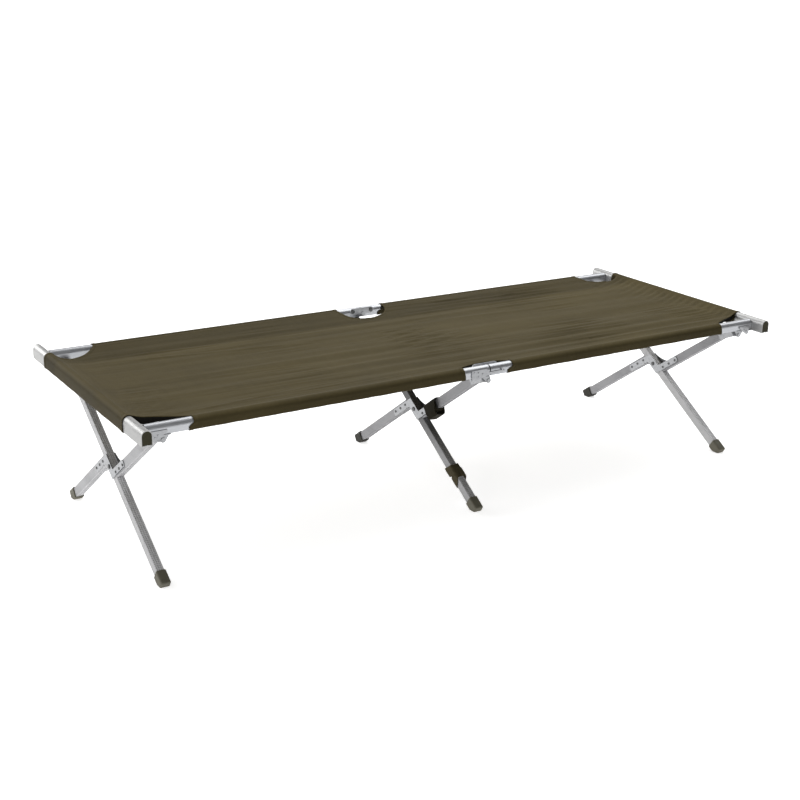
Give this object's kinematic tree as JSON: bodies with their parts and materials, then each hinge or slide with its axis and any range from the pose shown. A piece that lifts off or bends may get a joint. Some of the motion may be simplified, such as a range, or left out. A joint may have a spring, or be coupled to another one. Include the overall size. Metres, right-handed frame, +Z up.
{
  "type": "folding cot",
  "caption": "Folding camp cot: canvas bed on hinged aluminium side rails, scissor leg sets with rubber feet, and lift-off end bars.",
  "frame": {"origin": "on the floor, under the middle of the bed", "axes": "+X along the bed, +Y across it to the side of the straight legs' tops, +Z up"},
  "size_m": [1.9006, 0.75, 0.4183],
  "materials": {
    "rail_aluminium": "bright drawn",
    "bar_aluminium": "satin drawn",
    "leg_aluminium": "satin, grooved",
    "plated_steel": "zinc plated",
    "rivet_steel": "dull",
    "olive_rubber": "matt",
    "olive_plastic": "matt",
    "canvas": "woven, slight sheen",
    "webbing": "woven webbing"
  },
  "bodies": {
    "front_left": {"rail_front_left": "rail_aluminium", "end_catch_front_left": "plated_steel", "leg_brackets_front_left": "plated_steel", "canvas_left": "canvas"},
    "front_right": {"rail_front_right": "rail_aluminium", "end_catch_front_right": "plated_steel", "leg_brackets_front_right": "plated_steel", "canvas_right": "canvas"},
    "back_left": {"rail_back_left": "rail_aluminium", "end_catch_back_left": "plated_steel", "leg_brackets_back_left": "plated_steel"},
    "back_right": {"rail_back_right": "rail_aluminium", "end_catch_back_right": "plated_steel", "leg_brackets_back_right": "plated_steel"},
    "link_front": {"middle_link_front": "plated_steel", "middle_link_pins_front": "rivet_steel"},
    "link_back": {"middle_link_back": "plated_steel", "middle_link_pins_back": "rivet_steel"},
    "bar_left": {"end_bar_left": "bar_aluminium", "end_plugs_left": "olive_plastic"},
    "bar_right": {"end_bar_right": "bar_aluminium", "end_plugs_right": "olive_plastic"},
    "swivel_front_left": {"swivel_front_left": "plated_steel"},
    "leg_b_left": {"leg_b_upper_left": "leg_aluminium", "leg_b_lower_left": "leg_aluminium", "fork_b_left": "plated_steel", "foot_back_left": "olive_rubber", "cross_plates_left": "plated_steel", "cross_rivets_left": "rivet_steel", "cross_pin_left": "rivet_steel"},
    "leg_a_left": {"leg_a_left": "leg_aluminium", "fork_a_left": "plated_steel", "foot_front_left": "olive_rubber"},
    "swivel_back_left": {"swivel_back_left": "plated_steel"},
    "swivel_front_middle": {"swivel_front_middle": "plated_steel"},
    "leg_b_middle": {"leg_b_upper_middle": "leg_aluminium", "leg_b_lower_middle": "leg_aluminium", "fork_b_middle": "plated_steel", "foot_back_middle": "olive_rubber", "cross_plates_middle": "plated_steel", "cross_rivets_middle": "rivet_steel", "cross_pin_middle": "rivet_steel", "cross_strap": "webbing"},
    "leg_a_middle": {"leg_a_middle": "leg_aluminium", "fork_a_middle": "plated_steel", "foot_front_middle": "olive_rubber", "leg_strap": "webbing"},
    "swivel_back_middle": {"swivel_back_middle": "plated_steel"},
    "swivel_front_right": {"swivel_front_right": "plated_steel"},
    "leg_b_right": {"leg_b_upper_right": "leg_aluminium", "leg_b_lower_right": "leg_aluminium", "fork_b_right": "plated_steel", "foot_back_right": "olive_rubber", "cross_plates_right": "plated_steel", "cross_rivets_right": "rivet_steel", "cross_pin_right": "rivet_steel"},
    "leg_a_right": {"leg_a_right": "leg_aluminium", "fork_a_right": "plated_steel", "foot_front_right": "olive_rubber"},
    "swivel_back_right": {"swivel_back_right": "plated_steel"}
  },
  "joints": [
    {"name": "left_legs_swing", "type": "hinge", "parent": "front_left", "child": "swivel_front_left", "pos_m": [-0.88, -0.322, 0.37], "axis": [0, -1, 0], "range_deg": [0, 90]},
    {"name": "scissor_fold", "type": "hinge", "parent": "swivel_front_left", "child": "leg_b_left", "pos_m": [-0.88, -0.313, 0.37], "axis": [-1, 0, 0], "range_deg": [0, 50], "deforming": ["canvas_left", "canvas_right"]},
    {"name": "left_scissor_cross", "type": "hinge", "parent": "leg_b_left", "child": "leg_a_left", "pos_m": [-0.88, 0, 0.196], "axis": [-1, 0, 0], "range_deg": [-100, 0]},
    {"name": "left_scissor_top_back", "type": "hinge", "parent": "leg_a_left", "child": "swivel_back_left", "pos_m": [-0.88, 0.313, 0.37], "axis": [-1, 0, 0], "range_deg": [0, 50]},
    {"name": "left_legs_swing_back", "type": "hinge", "parent": "swivel_back_left", "child": "back_left", "pos_m": [-0.88, 0.322, 0.37], "axis": [0, -1, 0], "range_deg": [-90, 0]},
    {"name": "middle_legs_swing", "type": "hinge", "parent": "front_left", "child": "swivel_front_middle", "pos_m": [0, -0.322, 0.37], "axis": [0, 1, 0], "range_deg": [0, 75]},
    {"name": "middle_scissor_top_front", "type": "hinge", "parent": "swivel_front_middle", "child": "leg_b_middle", "pos_m": [0, -0.313, 0.37], "axis": [-1, 0, 0], "range_deg": [0, 50]},
    {"name": "middle_scissor_cross", "type": "hinge", "parent": "leg_b_middle", "child": "leg_a_middle", "pos_m": [0, 0, 0.196], "axis": [-1, 0, 0], "range_deg": [-100, 0]},
    {"name": "middle_scissor_top_back", "type": "hinge", "parent": "leg_a_middle", "child": "swivel_back_middle", "pos_m": [0, 0.313, 0.37], "axis": [-1, 0, 0], "range_deg": [0, 50]},
    {"name": "right_legs_swing", "type": "hinge", "parent": "front_right", "child": "swivel_front_right", "pos_m": [0.88, -0.322, 0.37], "axis": [0, 1, 0], "range_deg": [0, 90]},
    {"name": "right_scissor_top_front", "type": "hinge", "parent": "swivel_front_right", "child": "leg_b_right", "pos_m": [0.88, -0.313, 0.37], "axis": [-1, 0, 0], "range_deg": [0, 50]},
    {"name": "right_scissor_cross", "type": "hinge", "parent": "leg_b_right", "child": "leg_a_right", "pos_m": [0.88, 0, 0.196], "axis": [-1, 0, 0], "range_deg": [-100, 0]},
    {"name": "right_scissor_top_back", "type": "hinge", "parent": "leg_a_right", "child": "swivel_back_right", "pos_m": [0.88, 0.313, 0.37], "axis": [-1, 0, 0], "range_deg": [0, 50]},
    {"name": "right_legs_swing_back", "type": "hinge", "parent": "swivel_back_right", "child": "back_right", "pos_m": [0.88, 0.322, 0.37], "axis": [0, 1, 0], "range_deg": [-90, 0]},
    {"name": "middle_fold", "type": "hinge", "parent": "front_left", "child": "link_front", "pos_m": [-0.03, -0.322, 0.403], "axis": [0, -1, 0], "range_deg": [0, 90]},
    {"name": "middle_fold_front", "type": "hinge", "parent": "link_front", "child": "front_right", "pos_m": [0.03, -0.322, 0.403], "axis": [0, -1, 0], "range_deg": [0, 90]},
    {"name": "middle_fold_back", "type": "hinge", "parent": "back_left", "child": "link_back", "pos_m": [-0.03, 0.322, 0.403], "axis": [0, -1, 0], "range_deg": [0, 90]},
    {"name": "end_bar_left_lift", "type": "slide", "parent": "front_left", "child": "bar_left", "axis": [0, 0, 1], "range_m": [0, 0.009]},
    {"name": "end_bar_right_lift", "type": "slide", "parent": "front_right", "child": "bar_right", "axis": [0, 0, 1], "range_m": [0, 0.009]}
  ],
  "couplings": [
    {"joint": "left_scissor_cross", "follows": "scissor_fold", "ratio": -2},
    {"joint": "left_scissor_top_back", "follows": "scissor_fold", "ratio": 1},
    {"joint": "left_legs_swing_back", "follows": "left_legs_swing", "ratio": -1},
    {"joint": "middle_scissor_top_front", "follows": "scissor_fold", "ratio": 1},
    {"joint": "middle_scissor_cross", "follows": "scissor_fold", "ratio": -2},
    {"joint": "middle_scissor_top_back", "follows": "scissor_fold", "ratio": 1},
    {"joint": "right_scissor_top_front", "follows": "scissor_fold", "ratio": 1},
    {"joint": "right_scissor_cross", "follows": "scissor_fold", "ratio": -2},
    {"joint": "right_scissor_top_back", "follows": "scissor_fold", "ratio": 1},
    {"joint": "right_legs_swing_back", "follows": "right_legs_swing", "ratio": -1},
    {"joint": "middle_fold_front", "follows": "middle_fold", "ratio": 1},
    {"joint": "middle_fold_back", "follows": "middle_fold", "ratio": 1}
  ]
}
